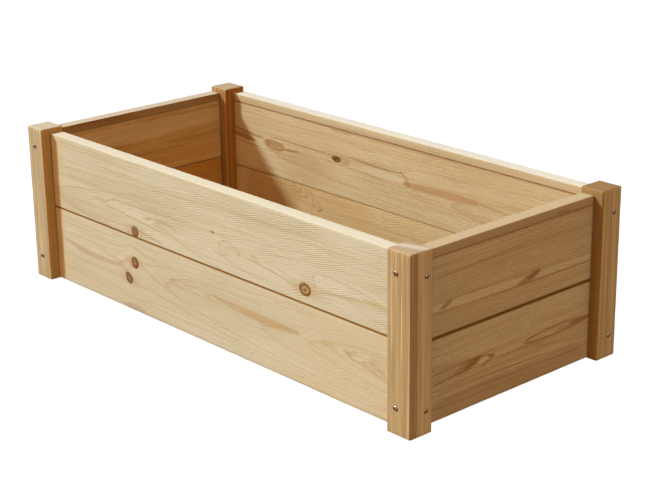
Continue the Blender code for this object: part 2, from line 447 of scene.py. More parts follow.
    pores = stretchedNoise(grain, (900.0, 900.0, 900.0), 2.0, seed)
    endColour = blend(whole(look["endWood"]), rings["Ring"], 0.6, warm)
    endColour = blend(endColour, ramp(pores, 0.5, 0.7), 0.25, look["streak"])
    for band in marks.get("topBands", ()):      # paler and darker layers across the end of a post
        layer = timesPlus(pores - 0.5, 0.003, timesPlus(grainY, -look["topTilt"], grainZ))
        mask = softBand(layer, band["from"], band["to"], band["soft"])
        endColour = blend(endColour, mask, band["share"], band["colour"])
    colour = tint(ramp(abs(facing(normal, along)), 0.5, 0.9), colour, endColour)
    if look["paintedTopShare"]:                    # painted light: the top faces get their own colour, matched to how they are lit, here pinker and there yellower
        blush = stretchedNoise(grain, (24.0, 60.0, 90.0), 1.0, seed + 6.6)
        yellower = [part * share for part, share in zip(look["paintedTopColour"], look["paintedTopVaries"])]
        paintedTop = tint(ramp(blush, 0.35, 0.65), whole(look["paintedTopColour"]), whole(yellower))
        paintedTop = blend(paintedTop, rings["Ring"], 0.25, warm)
        colour = tint(ramp(separate(normal)[2], 0.75, 0.97) * look["paintedTopShare"], colour, paintedTop)
    edge = useGroup(wearGroup, {
        "Vector": point, "Low": place["low"], "High": place["high"], "Reach": look["wearReach"],
    })["Edge"]
    put(tint(edge * look["wearShare"], colour, whole(warm), "MULTIPLY"), shader["Base Color"])
    put(ramp(ripple["Height"], 0.1, 0.9, look["roughHigh"], look["roughLow"]), shader["Roughness"])
    put(look["shine"], shader["Specular IOR Level"])
    put(bumpFrom(height, millimetre), shader["Normal"])
    return material


# Tools for the meshes

def newObject(name, mesh):
    made = bpy.data.objects.new(name, mesh)
    scene.collection.objects.link(made)
    return made


def meshFrom(work, name):
    mesh = bpy.data.meshes.new(name)
    work.to_mesh(mesh)
    work.free()
    return mesh


def smoothMesh(mesh, sharpAbove=32):
    mesh.shade_smooth()
    mesh.set_sharp_from_angle(angle=math.radians(sharpAbove))


def finishPiece(work, name, material):
    piece = newObject(name, meshFrom(work, name))
    smoothMesh(piece.data)
    piece.data.materials.append(material)
    return piece


def cutShapes(piece, work, crossing=False):      # the piece's mesh without the shapes in work
    cutter = newObject("cutter", meshFrom(work, "cutter"))
    boolean = piece.modifiers.new("cut", "BOOLEAN")
    boolean.operation = "DIFFERENCE"
    boolean.solver = "EXACT"
    boolean.use_self = crossing             # for shapes that cross each other
    boolean.object = cutter
    bpy.context.view_layer.update()
    graph = bpy.context.evaluated_depsgraph_get()
    mesh = bpy.data.meshes.new_from_object(piece.evaluated_get(graph))
    piece.modifiers.clear()
    bpy.data.objects.remove(cutter, do_unlink=True)
    return mesh


def roundEdges(work, edges, radius, segments):
    bmesh.ops.bevel(work, geom=edges, offset=radius, segments=segments, profile=0.5, affect="EDGES",
                    clamp_overlap=True, material=-1)


def cutAt(work, axis, place):
    everything = work.verts[:] + work.edges[:] + work.faces[:]
    bmesh.ops.bisect_plane(work, geom=everything, plane_co=axis * place, plane_no=axis, dist=1e-7)


def divideAlong(work, axis, stepAt):        # evenly divides the edges that run with axis
    columns = {}
    for edge in work.edges:
        first, last = sorted(vert.co.dot(axis) for vert in edge.verts)
        if last - first > 0.999 * edge.calc_length():
            columns.setdefault((round(first, 6), round(last, 6)), []).append(edge)
    for (first, last), edges in columns.items():
        cuts = math.ceil((last - first) / stepAt((first + last) / 2)) - 1
        if cuts > 0:
            bmesh.ops.subdivide_edges(work, edges=edges, cuts=cuts, use_grid_fill=True)


def easedStep(value, first, last):
    share = min(1.0, max(0.0, (value - first) / (last - first)))
    return share * share * (3 - 2 * share)


def noiseAt(place, scales):                 # smooth noise from -1 to 1
    return noise.noise(Vector([value * scale for value, scale in zip(place, scales)]))


def edgeDent(point, low, high, shape):      # how much wood an edge has lost at a point
    gap = sorted(min(point[k] - low[k], high[k] - point[k]) for k in range(3))[1]
    if gap >= shape["edgeReach"]:
        return 0.0
    coarse, fine = (noise.noise(point * scale) for scale in shape["dentScales"])
    dent = max(0.0, coarse + shape["fineDent"] * fine)
    return shape["edgeLoss"] * dent * easedStep(gap, shape["edgeReach"], 0.0)


def wearAway(work, lossAt):                 # moves every point into the wood by lossAt(point, normal)
    moves = [vert.normal * -lossAt(vert.co, vert.normal) for vert in work.verts]
    for vert, move in zip(work.verts, moves):
        vert.co += move


# Drilled holes, one for each screw, where the frame has it

drilling = {"radius": 0.0021, "segments": 24, "past": 0.001, "tipReach": 0.001, "headReach": 0.006}
screwNodes = sorted(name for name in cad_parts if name.startswith("screw_"))


def screwAxis(node):                        # top of the head, tip, direction out of the post
    low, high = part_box(node)
    middle = (low + high) / 2
    run = 0 if high.x - low.x > high.y - low.y else 1
    side = 1 if middle[run] > 0 else -1
    out = Vector((0, 0, 0))
    out[run] = side
    ends = sorted((low[run], high[run]), key=lambda place: place * side)
    tip, top = middle.copy(), middle.copy()
    tip[run], top[run] = ends
    return top, tip, out


def drill(piece, low, high):                # cuts the holes of every screw that enters the piece
    work = bmesh.new()
    for node in screwNodes:
        top, tip, out = screwAxis(node)
        ends = ((tip, drilling["tipReach"]), (top, drilling["headReach"]))
        if not any(all(low[k] - near < end[k] < high[k] + near for k in range(3)) for end, near in ends):
            continue
        length = (top - tip).length + 2 * drilling["past"]
        middle = tip - out * drilling["past"] + out * length / 2
        turned = axisZ.rotation_difference(out).to_matrix().to_4x4()
        radius = drilling["radius"]
        bmesh.ops.create_cone(work, cap_ends=True, segments=drilling["segments"], radius1=radius,
                              radius2=radius, depth=length, matrix=Matrix.Translation(middle) @ turned)
    piece.data = cutShapes(piece, work)


# Boards

boardShape = {
    "easing": 0.0013, "easingSegments": 3,
    "step": 0.0055, "fineStep": 0.0016, "fineReach": 1.6, "fineMargin": 0.004,
    "lineBelowTop": 0.015, "lineDepth": 0.0010, "lineHalfWidth": 0.0009,
    "waveDepth": 0.00022, "waveScales": (7, 34, 20),
    "edgeLoss": 0.00035, "edgeReach": 0.004, "dentScales": (60, 140), "fineDent": 0.5,
    "knotDip": 0.00045, "knotReach": 1.5, "knotRim": 0.16, "knotRings": 13, "ringDip": 0.4,
}

# face with the milled line: +1 is the one that the camera sees, -1 the other one
lineSide = {"front": -1, "right": 1, "back": 1, "left": 1}


def boardFrame(side):
    along = axisX if side in ("front", "back") else axisY
    return along, axisZ, along.cross(axisZ)


def shapeBoard(low, high, side, level, knots):
    shape = boardShape
    along, across, depth = boardFrame(side)
    work = bmesh.new()
    bmesh.ops.create_cube(work, size=1.0)
    bmesh.ops.scale(work, vec=high - low, verts=work.verts)
    roundEdges(work, work.edges[:], shape["easing"], shape["easingSegments"])
    bmesh.ops.translate(work, vec=(low + high) / 2, verts=work.verts)
    middle = ((low + high) / 2).dot(depth)
    half = abs((high - low).dot(depth)) / 2

    if level == "upper":                    # the milled line
        line = high.z - shape["lineBelowTop"]
        face = middle + lineSide[side] * half
        for off in (-shape["lineHalfWidth"], 0.0, shape["lineHalfWidth"]):
            cutAt(work, across, line + off)
        for vert in work.verts:
            if abs(vert.co.dot(depth) - face) < 1e-5 and abs(vert.co.z - line) < 1e-6:
                vert.co -= depth * lineSide[side] * shape["lineDepth"]

    near = []                               # spans with a finer mesh, for the knots
    for knot in knots:
        near.append((along, knot["along"], knot["halfLength"] * shape["fineReach"]))
        near.append((across, knot["across"], knot["halfHeight"] * shape["fineReach"]))
    for axis, place, reach in near:
        start, end = low.dot(axis) + shape["fineMargin"], high.dot(axis) - shape["fineMargin"]
        for edge in (place - reach, place + reach):
            if start < edge < end:
                cutAt(work, axis, edge)

    def stepAlong(axis):
        spans = [(place - reach, place + reach) for found, place, reach in near if found == axis]
        return lambda place: shape["fineStep"] if any(a < place < b for a, b in spans) else shape["step"]

    for axis in (depth, across, along):
        divideAlong(work, axis, stepAlong(axis))
    work.normal_update()

    def lossAt(point, normal):              # uneven planing, worn edges and sunken knots
        wave = noiseAt((point.dot(along), point.z, point.dot(depth)), shape["waveScales"])
        loss = shape["waveDepth"] * (0.5 + 0.5 * wave) + edgeDent(point, low, high, shape)
        if abs(normal.dot(depth)) > 0.8:
            for knot in knots:
                radius = math.hypot((point.dot(along) - knot["along"]) / knot["halfLength"],
                                    (point.z - knot["across"]) / knot["halfHeight"])
                if radius < shape["knotReach"]:
                    rim = math.exp(-((radius - 1.0) / shape["knotRim"]) ** 2)
                    core = easedStep(radius, 0.9, 0.2) * (0.5 + 0.5 * math.sin(radius * shape["knotRings"]))
                    loss += shape["knotDip"] * (rim + shape["ringDip"] * core)
        return loss

    wearAway(work, lossAt)
    return work


# Marks on the boards. Lengths are in millimetres: along the board from its middle, and up from the ground

tan = (0.480, 0.265, 0.105)
darkTan = (0.330, 0.150, 0.050)
redTan = (0.420, 0.190, 0.080)
amber = (0.520, 0.260, 0.100)
paintedShadeBrown = (0.470, 0.205, 0.055)
olive = (0.520, 0.400, 0.130)
cream = (0.760, 0.620, 0.400)
backPale = (0.745, 0.520, 0.268)
backWarm = (0.440, 0.235, 0.085)
rightPale = (0.650, 0.430, 0.215)
rightWarm = (0.395, 0.215, 0.078)
umber = (0.245, 0.093, 0.006)
gold = (0.800, 0.560, 0.300)

knotLook = {            # what a knot has unless its own line says otherwise
    "rough": 0.16, "shellRadius": 1.8, "shellSide": 1.0, "shell": 0.0, "halo": 0.35,
    "colour": (0.265, 0.112, 0.032), "side": (0.360, 0.060, 0.020), "share": 0.9,
    "rings": 0.3, "centre": (0.115, 0.050, 0.014), "rim": 0.75, "rimColour": (0.115, 0.050, 0.014),
    "pith": 0.7, "pithColour": (0.090, 0.034, 0.014),
}


def knot(along, across, halfLength, halfHeight, **more):
    places = {"along": along, "across": across, "halfLength": halfLength, "halfHeight": halfHeight}
    return {**knotLook, **{key: value * millimetre for key, value in places.items()}, **more}


def onBoard(along, across):
    return (along * millimetre, across * millimetre, 0.0)


def streak(x1, z1, x2, z2, thickness, share, colour=pineLook["streak"], bow=0.0, fade=0.1, blunt=0.55,
           inside=False):
    inputs = {"Start": onBoard(x1, z1), "Finish": onBoard(x2, z2), "Thickness": thickness * millimetre,
              "Bow": bow * millimetre, "Fade": fade, "Blunt": blunt}
    return {"group": streakGroup, "inputs": inputs, "share": share, "colour": colour, "inside": inside}


def paintedShading(x1, z1, x2, z2, thickness, share, colour, fade, blunt=0.1):
    # painted light and shade over a broad area of the inner face only
    return streak(x1, z1, x2, z2, thickness, share, colour, fade=fade, blunt=blunt, inside=True)


def tongue(x, z, reach, spread, slope, arcs, share, colour=pineLook["streak"]):
    inputs = {"Tip": onBoard(x, z), "Reach": reach * millimetre, "Spread": spread * millimetre,
              "Slope": slope, "Arcs": arcs}
    return {"group": tongueGroup, "inputs": inputs, "share": share, "colour": colour, "inside": False}


boardLooks = {
    "front_upper": {"seed": 1.7, "pithHeight": 0.178, "pithDepth": -0.075, "tiltDepth": 0.035,
                    "slant": 0.30, "rippleShare": 0.40, "paintedTopShare": 0.92},
    "front_lower": {"seed": 4.2, "pithHeight": 0.078, "pithDepth": -0.070, "tiltDepth": 0.040, "slant": 0.0,
                    "rippleShare": 0.46},
    "back_upper": {"seed": 7.9, "pale": backPale, "warm": backWarm, "pithHeight": 0.190, "slant": 0.05,
                   "rippleShare": 0.60, "paintedTopShare": 0.92, "paintedTopColour": (0.683, 0.569, 0.466)},
    "back_lower": {"seed": 12.4, "pale": (0.745, 0.490, 0.225), "warm": backWarm, "pithHeight": 0.060,
                   "slant": 0.26, "rippleShare": 0.55},
    # the left boards' inner faces get a painted shade tint, darker on the lower board
    "left_upper": {"seed": 17.1, "pale": rightPale, "warm": (0.354, 0.182, 0.056), "pithHeight": 0.215,
                   "slant": 0.02, "innerShade": (0.968, 0.713, 0.411), "toneShare": 0.5, "ringShare": 0.45,
                   "grainShare": 0.4, "paintedTopShare": 0.9, "paintedTopColour": (0.571, 0.421, 0.302)},
    "left_lower": {"seed": 21.6, "pale": rightPale, "warm": (0.424, 0.215, 0.078), "slant": 0.02,
                   "innerShade": (0.760, 0.427, 0.106), "grainShare": 0.4},
    "right_upper": {"seed": 26.3, "pale": rightPale, "warm": rightWarm, "pithHeight": 0.200, "slant": -0.12,
                    "rippleShare": 0.60, "grainShare": 0.32, "grainFine": 200.0, "paintedTopShare": 0.9,
                    "paintedTopColour": (0.523, 0.347, 0.206)},
    "right_lower": {"seed": 31.8, "pale": rightPale, "warm": rightWarm, "pithHeight": 0.066, "slant": 0.0,
                    "rippleShare": 0.70, "grainShare": 0.40, "grainFine": 230.0},
}

boardKnots = {
    "front_upper": [
        knot(-200, 152.7, 9.8, 9.2, halo=0.5, rim=0.5, pith=0.3, pithColour=(0.330, 0.150, 0.050),
             side=(0.350, 0.110, 0.030)),
        knot(249.7, 166.6, 12.5, 9.8, rough=0.09, rings=0.9, centre=(0.50, 0.280, 0.105), halo=0.6,
             rim=0.85, share=0.9, rimColour=(0.175, 0.075, 0.015), pith=0.45),
    ],
    "front_lower": [
        knot(-204.5, 93.7, 9.8, 10, halo=0.5, shell=0.9, shellRadius=1.55, shellSide=-1, pith=0.65,
             pithColour=(0.360, 0.220, 0.100)),
        knot(-224.5, 64.5, 9.8, 9.7, halo=0.45, side=(0.270, 0.140, 0.050), pith=0.7,
             pithColour=(0.330, 0.230, 0.105), shell=0.7, shellRadius=1.6, shellSide=1),
    ],
    "back_upper": [
        knot(-150, 206.5, 12, 6, halo=0.5, side=(0.320, 0.140, 0.048), rough=0.36, rim=0.35, rings=0.45,
             share=1, colour=(0.110, 0.042, 0.009), centre=(0.300, 0.130, 0.040)),
    ],
}

boardGrain = {          # broad areas first, then tongues, then streaks
    "front_upper": [
        streak(266, 194.5, 273.5, 185.5, 2.6, 0.8, darkTan, bow=1.5),
        streak(269, 172, 274, 186.5, 3, 0.65, darkTan, bow=-1.5),
        streak(-430, 220, -50, 234, 26, 0.16, blunt=0.3),
        streak(-287, 190, -120, 190, 16, 0.4, cream),
        streak(-290, 187, -240, 200.5, 3, 0.6, tan, bow=3.5),
        streak(-258, 198.5, -40, 204.5, 2.8, 0.55, tan, fade=0.04),
        streak(-290, 189.5, -262, 181, 3, 0.55, tan, bow=-3),
        streak(-276, 183.5, -100, 170, 2.6, 0.5, tan, bow=-1, fade=0.04),
        streak(-322, 191, -282, 189, 7, 0.35, tan),
        streak(-152, 188.5, -72, 181, 5.8, 0.65, olive, bow=5, fade=0.05),
        streak(-168, 185, -148, 189, 6, 0.5, tan),
        streak(14, 206.5, 27, 205.5, 4, 0.75, darkTan),
        streak(2, 189, 64, 178, 2.6, 0.5, bow=-11, fade=0.05),
        streak(46, 204, 93, 183, 2.6, 0.5, bow=2),
        streak(34, 190, 43, 189, 8, 0.4, olive),
        streak(44, 198, 54, 196.5, 4.5, 0.5, tan),
        streak(82, 185, 93, 183, 6.5, 0.4, tan),
        streak(118, 190, 138, 187, 10, 0.45, olive),
        streak(95, 183, 238, 165, 3, 0.55, tan, bow=3),
        streak(150, 190, 236, 171, 2.4, 0.4, bow=2),
        streak(262, 188, 436, 189, 26, 0.65, (0.760, 0.600, 0.390), bow=4),
        streak(262, 168, 434, 187, 4.6, 0.4, tan, bow=2.5),
        streak(272, 203, 436, 187, 3, 0.45, bow=4),
        streak(378, 187, 438, 185.5, 8.5, 0.55, olive),
        streak(-196, 158, -120, 150, 4, 0.45, redTan, fade=0.05),
    ],
    "front_lower": [
        streak(50, 75, 900, 75, 300, 0.5, (0.720, 0.510, 0.270), fade=0.35, blunt=0.1),
        tongue(289, 90.5, 300, 34, -0.015, 6, 0.32, tan),
        tongue(340, 88.5, 170, 17, -0.1, 5, 0.6, tan),
        tongue(-108, 89, 200, 22, 0, 4, 0.35, tan),
        streak(10, 93, 238, 89.5, 13.5, 0.58, (0.560, 0.310, 0.120), bow=-5, fade=0.04, blunt=0.7),
        streak(85, 87, 240, 89, 15, 0.35, (0.520, 0.300, 0.120), bow=-3, fade=0.06, blunt=0.45),
        streak(232, 89, 330, 62, 2.4, 0.35),
        streak(-445, 91, -232, 81.5, 12.5, 0.5, tan, bow=-10, blunt=0.8),
        streak(-300, 90, -236, 84, 6, 0.3, tan),
        streak(-410, 104, -234, 86, 2.4, 0.4, bow=3),
        streak(-188, 96, -112, 69, 3.4, 0.5, tan, bow=-3, fade=0.05),
        streak(-255, 7, -165, 6, 14, 0.4, redTan, fade=0.3),
        streak(284, 91, 302, 90, 13, 0.45, olive),
        streak(112, 19.3, 119, 18.4, 3, 0.55, darkTan),
        streak(-440, 35, -250, 22, 3, 0.3),
        streak(-160, 48, 120, 52, 3, 0.32),
        streak(-60, 110, 180, 112, 3, 0.28),
    ],
    "back_upper": [
        # painted light and shade: darker orange beside the cast shadow of the left side, lighter inside that
        # shadow, darker at its top
        paintedShading(-380, 172, -100, 166, 56, 0.34, paintedShadeBrown, 0.45),
        paintedShading(-620, 165, -365, 165, 74, 0.5, (0.860, 0.600, 0.290), 0.12),
        paintedShading(-620, 240, -330, 240, 80, 0.22, (0.440, 0.240, 0.090), 0.2),
        tongue(120, 228, 360, 26, 0.02, 3, 0.25),
        streak(-150, 208, -112, 206, 15, 0.65, amber, blunt=0.4),
        streak(-350, 214, -156, 212, 3.6, 0.65, darkTan, fade=0.05),
        streak(-122, 219.5, 30, 216.5, 5, 0.65, darkTan, bow=-3, fade=0.05),
        streak(18, 219, 46, 199, 5, 0.6, darkTan, bow=3),
        streak(-90, 206, 34, 203, 15, 0.55, (0.720, 0.560, 0.330)),
        streak(30, 198.5, 215, 201.5, 14.5, 0.8, (0.500, 0.240, 0.085), fade=0.04, blunt=0.3),
        streak(170, 203.5, 290, 195, 5.5, 0.65, amber, bow=2, fade=0.05),
        streak(28, 199, 48, 197, 12, 0.5, darkTan),
        streak(-262, 199, 50, 186, 3.2, 0.6, tan, bow=4, fade=0.05),
        streak(-360, 199.5, -298, 197.5, 19, 0.9, (0.470, 0.225, 0.080), blunt=0.3),
        streak(-361, 200.5, -340, 199.5, 13, 0.55, darkTan),
        streak(-352, 207.5, -298, 197.5, 3, 0.6, darkTan, bow=3, fade=0.05),
        streak(-350, 191, -297, 195, 3, 0.6, darkTan, bow=-3, fade=0.05),
        streak(-308, 194.5, -255, 198.5, 5.5, 0.8, darkTan, fade=0.05),
        streak(-466, 203.5, -384, 196, 11.5, 0.8, darkTan),
        streak(-470, 215, -356, 205.5, 6.2, 0.7, darkTan, bow=-1),
        streak(-460, 190, -372, 185, 5, 0.4, darkTan),
        streak(-230, 268, 220, 268, 12, 0.35, redTan),
        streak(-168, 262.5, -104, 264.5, 8, 0.45, redTan),
        streak(60, 176, 330, 168, 3, 0.4, tan),
    ],
    "back_lower": [
        # painted light inside the cast shadow of the left side, and a soft painted shadow fading out to the
        # right of it
        paintedShading(-620, 90, -310, 90, 300, 0.6, (0.840, 0.540, 0.225), 0.12),
        paintedShading(-430, 95, -245, 90, 85, 0.42, (0.480, 0.220, 0.045), 0.15),
        paintedShading(-345, 90, -30, 90, 300, 0.41, (0.580, 0.290, 0.085), 0.18),
        paintedShading(-200, 90, 120, 90, 300, 0.14, (0.620, 0.340, 0.120), 0.3),
        tongue(-193, 94, -130, 38, -0.5, 7, 0.58, (0.400, 0.190, 0.060)),
        streak(-204, 92, -188, 99, 6, 0.6, darkTan),
    ],
    "left_upper": [
        # painted light and shade on the shaded inner face: a paler band high up, a darker orange band lower
        # down
        paintedShading(-240, 242, 240, 240, 36, 0.4, (0.720, 0.620, 0.500), 0.1, blunt=0.3),
        paintedShading(-240, 170, 240, 170, 44, 0.35, (0.600, 0.320, 0.120), 0.1, blunt=0.3),
        streak(85, 212, 195, 222, 3, 0.5, darkTan),
        streak(-60, 196, 40, 203, 2.5, 0.4, darkTan),
    ],
    "right_upper": [
        streak(-184, 186.5, 40, 179.5, 15, 0.5, gold, fade=0.03, blunt=0.3),
        streak(36, 181, 200, 180, 11, 0.5, gold, fade=0.06, blunt=0.3),
        streak(-184, 194.5, 200, 186.5, 3, 0.2, umber, fade=0.03, blunt=0.3),
        streak(-90, 176, 200, 173.8, 3.4, 0.5, umber, bow=-1, fade=0.08, blunt=0.3),
        streak(-184, 177, -60, 175.5, 2.6, 0.24, umber),
        streak(10, 176.5, 67, 189, 10, 0.58, umber, bow=-1.5, blunt=0.7),
        streak(34, 180.5, 69, 188.5, 11.5, 0.52, umber, blunt=0.8),
        streak(-161, 182, -132, 191.5, 9, 0.58, umber, blunt=0.8),
        streak(98, 273, 134, 271, 7, 0.6, umber),
        streak(-190, 232, 60, 243, 3, 0.3, umber),
    ],
    "right_lower": [
        streak(-200, 116, 200, 112, 60, 0.3, gold, blunt=0.2),
        streak(-182, 78.5, -64, 81, 3.2, 0.6, umber, bow=1, fade=0.03),
        streak(-182, 61, -76, 66, 3.4, 0.6, umber, bow=2, fade=0.03),
        streak(-80, 73.5, -44, 74.5, 10, 0.6, gold),
        streak(-38, 73.5, 34, 74, 10, 0.4, gold, blunt=0.3),
        streak(-130, 67.5, -62, 80, 14, 0.42, umber),
        streak(-106, 70, -68, 79.5, 11, 0.72, umber),
        streak(-53, 75.5, -37, 73.8, 5.6, 0.7, umber),
        streak(33, 73, 52, 69.5, 4, 0.45, umber),
        streak(36, 76.5, 62, 81.5, 3, 0.45, umber),
        streak(-70, 64, -37.5, 74, 4, 0.6, umber, bow=-2),
        streak(-76, 80, -37.5, 74.5, 3.4, 0.45, umber, bow=1.5),
        streak(-36, 66, 48, 65, 2.8, 0.5, umber, bow=2),
        streak(46, 73.5, 120, 75, 9, 0.4, gold),
        streak(100, 73.5, 194, 72.5, 7, 0.45, redTan),
        streak(34, 74.5, 194, 75.5, 3.6, 0.56, umber, bow=7.5, fade=0.02, blunt=0.3),
        streak(34, 71.5, 186, 73, 3.4, 0.56, umber, bow=-3.5, fade=0.02, blunt=0.3),
        streak(140, 75.5, 200, 76.5, 9, 0.6, umber),
        # painted shade: darker along the bottom of the board
        streak(-200, 18, 200, 20, 36, 0.3, umber, blunt=0.2),
        streak(-190, 50, 190, 36, 2.8, 0.4, umber),
        streak(-190, 36, 190, 24, 2.6, 0.4, umber),
    ],
}


def seam(reach, share, colour):
    return {"reach": reach * millimetre, "share": share, "colour": colour}


boardMilled = {         # how much darker the strip above the milled line is, how strong the painted shadow below it is, and the painted shade in the line
    "front": {"above": 0.10, "below": 0.10, "share": 0.50, "halfWidth": 0.0013},
    "back": {"above": 0.35, "below": 0.35, "share": 0.75, "halfWidth": 0.0024,
             "aboveColour": (0.610, 0.438, 0.262)},
    "left": {"above": 0.94, "below": 0.30, "share": 0.60, "halfWidth": 0.0014,
             "aboveColour": (0.215, 0.064, 0.001)},
    "right": {"above": 0.55, "below": 0.10, "share": 0.50, "halfWidth": 0.0030},
}

boardJoints = {         # painted shade in the seam where the two boards meet
    "front": seam(2.4, 0.95, (0.300, 0.112, 0.006)),
    "back": seam(4.2, 0.35, (0.460, 0.215, 0.060)),
    "left": seam(2.4, 0.60, (0.236, 0.095, 0.010)),
    "right": seam(4.0, 0.90, (0.200, 0.075, 0.008)),
}

boardEnds = {           # painted shade where the boards meet a post, with the soft painted shadow of the post on the front boards: the left one in front, the back one on the right
    "front": [seam(50, 0.60, (0.690, 0.465, 0.210)), seam(2.2, 0.70, umber)],
    "right": [seam(6, 0.50, umber)],
}


def makeBoard(side, level):
    key = side + "_" + level
    node = "board_" + key
    low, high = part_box(node)
    along, across, depth = boardFrame(side)
    middle = ((low + high) / 2).dot(depth)
    place = {
        "centre": depth * middle, "along": along, "across": across, "low": low, "high": high,
        "inward": depth * -math.copysign(1.0, middle),
    }
    joint, end = low.z if level == "upper" else high.z, high.y if side == "right" else low.x
    marks = {
        "knots": boardKnots.get(key, ()), "grain": boardGrain.get(key, ()),
        "joints": [{"at": joint, **boardJoints[side]}],
        "ends": [{"at": end, **found} for found in boardEnds.get(side, ())],
    }
    if level == "upper":
        marks["milled"] = {"height": high.z - boardShape["lineBelowTop"], "side": lineSide[side],
                           **boardMilled[side]}
    material = pineMaterial(key + "Pine", place, marks, boardLooks[key])
    work = shapeBoard(low, high, side, level, marks["knots"])
    board = finishPiece(work, "pineBoard_" + key, material)
    drill(board, low, high)
    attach(board, "root")
    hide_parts(node)


for side in ("front", "back", "left", "right"):
    for level in ("upper", "lower"):
        makeBoard(side, level)
print("boards made")


# Corner posts

postShape = {
    "round": 0.003, "roundSegments": 4, "footRound": 0.001, "footSegments": 2,
    "step": 0.0042, "lengthStep": 0.006,
    "grooveDepth": 0.00020, "grooveScales": (150, 150, 3), "waveScales": (20, 20, 9), "flatFoot": 0.0005,
    "edgeLoss": 0.0005, "edgeReach": 0.005, "dentScales": (45, 120), "fineDent": 0.6,
    "dimpleRadius": 0.0068, "dimpleFlat": 0.003, "dimpleDepth": 0.00045,
}

postLook = {
    "pale": (0.700, 0.456, 0.210), "warm": (0.340, 0.170, 0.055), "endWood": (0.445, 0.300, 0.180),
    "grainColour": (0.260, 0.120, 0.034), "overShare": 0.32,
    "ringWidth": 0.0036, "pithHeight": 0.030, "pithDepth": -0.040, "tiltDepth": 0.006, "tiltHeight": 0.004,
    "wander": 0.004, "slant": 0.0, "ringShare": 0.45, "lineShare": 0.55, "fibreShare": 0.5,
    "veinShare": 0.5, "grainShare": 0.30, "grainFine": 190.0, "grainDeep": 190.0,
    "rippleShare": 0.0, "rippleRelief": 0.0, "fibreRelief": 0.12, "topTilt": 0.32,
}

postLooks = {
    "front_right": {"seed": 41.0},
    "front_left": {"seed": 45.5, "pale": (0.735, 0.525, 0.285), "overShare": 0.24,
                   "endWood": (0.580, 0.440, 0.296)},
    "back_left": {"seed": 52.3, "grainColour": (0.150, 0.050, 0.006), "overShare": 0.50},
    "back_right": {"seed": 58.9, "pale": (0.730, 0.472, 0.215), "overShare": 0.28,
                   "endWood": (0.285, 0.144, 0.056)},
}


def band(first, last, colour, share, soft=1.2):     # millimetres from the middle of the post
    return {"from": first * millimetre, "to": last * millimetre, "soft": soft * millimetre,
            "colour": colour, "share": share}


postFronts = {          # bands on the front face, from left to right
    "front_right": [band(-30, -18.5, redTan, 0.45), band(8.5, 30, tan, 0.10)],
    # back_left and back_right: painted shade, a dark orange-brown over the whole shaded face
    "back_left": [band(-30, 30, (0.372, 0.108, 0.005), 0.50)],
    "back_right": [band(-30, 30, (0.250, 0.096, 0.010), 0.65)],
}

postSides = {           # bands on the right face, from front to back
    "front_right": [band(-30, -9, darkTan, 0.54), band(-9, 30, (0.740, 0.460, 0.210), 0.34)],
    # front_left and back_left: painted shade, a dark orange-brown over the whole shaded right face
    "front_left": [band(-30, 30, (0.450, 0.180, 0.016), 0.76)],
    "back_left": [band(-30, 30, (0.372, 0.108, 0.005), 0.95)],
    "back_right": [band(-30, -15, darkTan, 0.34, soft=3)],
}

postTops = {            # layers across the end, from front to back, tilted by topTilt towards X
    "front_right": [band(-2, 13, (0.780, 0.640, 0.480), 0.42, soft=4), band(17, 50, tan, 0.35, soft=3),
                    band(-50, -15, (0.560, 0.300, 0.130), 0.40, soft=3)],
}


def shapePost(low, high, key):
    shape = postShape
    work = bmesh.new()
    bmesh.ops.create_cube(work, size=1.0)
    bmesh.ops.scale(work, vec=high - low, verts=work.verts)
    bmesh.ops.translate(work, vec=(low + high) / 2, verts=work.verts)
    upper = [edge for edge in work.edges if max(vert.co.z for vert in edge.verts) > low.z + 1e-6]
    roundEdges(work, upper, shape["round"], shape["roundSegments"])
    foot = [edge for edge in work.edges if all(vert.co.z < low.z + 1e-6 for vert in edge.verts)]
    roundEdges(work, foot, shape["footRound"], shape["footSegments"])
    for axis, step in ((axisX, shape["step"]), (axisY, shape["step"]), (axisZ, shape["lengthStep"])):
        divideAlong(work, axis, lambda place, step=step: step)
    work.normal_update()
    heads = [screwAxis(node) for node in screwNodes if node.startswith("screw_" + key + "_")]

    def lossAt(point, normal):
        if point.z < low.z + shape["flatFoot"]:
            return 0.0
        groove = noiseAt(point, shape["grooveScales"])
        wave = noiseAt(point, shape["waveScales"])
        loss = shape["grooveDepth"] * (0.5 + 0.3 * groove + 0.2 * wave) + edgeDent(point, low, high, shape)
        for top, tip, out in heads:         # the wood is pressed in under each head
            if normal.dot(out) > 0.9:
                away = point - top
                away -= out * away.dot(out)
                press = easedStep(away.length, shape["dimpleRadius"], shape["dimpleFlat"])
                loss += shape["dimpleDepth"] * press
        return loss

    wearAway(work, lossAt)
    return work


def makePost(key):
    node = "post_" + key
    low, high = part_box(node)
    centre = (low + high) / 2
    centre.z = 0.0
    place = {"centre": centre, "along": axisZ, "across": axisX, "inward": axisZ, "low": low, "high": high}
    bands = [{"facing": facingFront, **found} for found in postFronts.get(key, ())]
    bands += [{"facing": facingRight, **found} for found in postSides.get(key, ())]
    marks = {"bands": bands, "topBands": postTops.get(key, ())}
    material = pineMaterial(key + "PostPine", place, marks, {**postLook, **postLooks[key]})
    post = finishPiece(shapePost(low, high, key), "pinePost_" + key, material)
    drill(post, low, high)
    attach(post, "root")
    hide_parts(node)


for key in postLooks:
    makePost(key)
print("posts made")


# Screws: domed heads with a cross recess

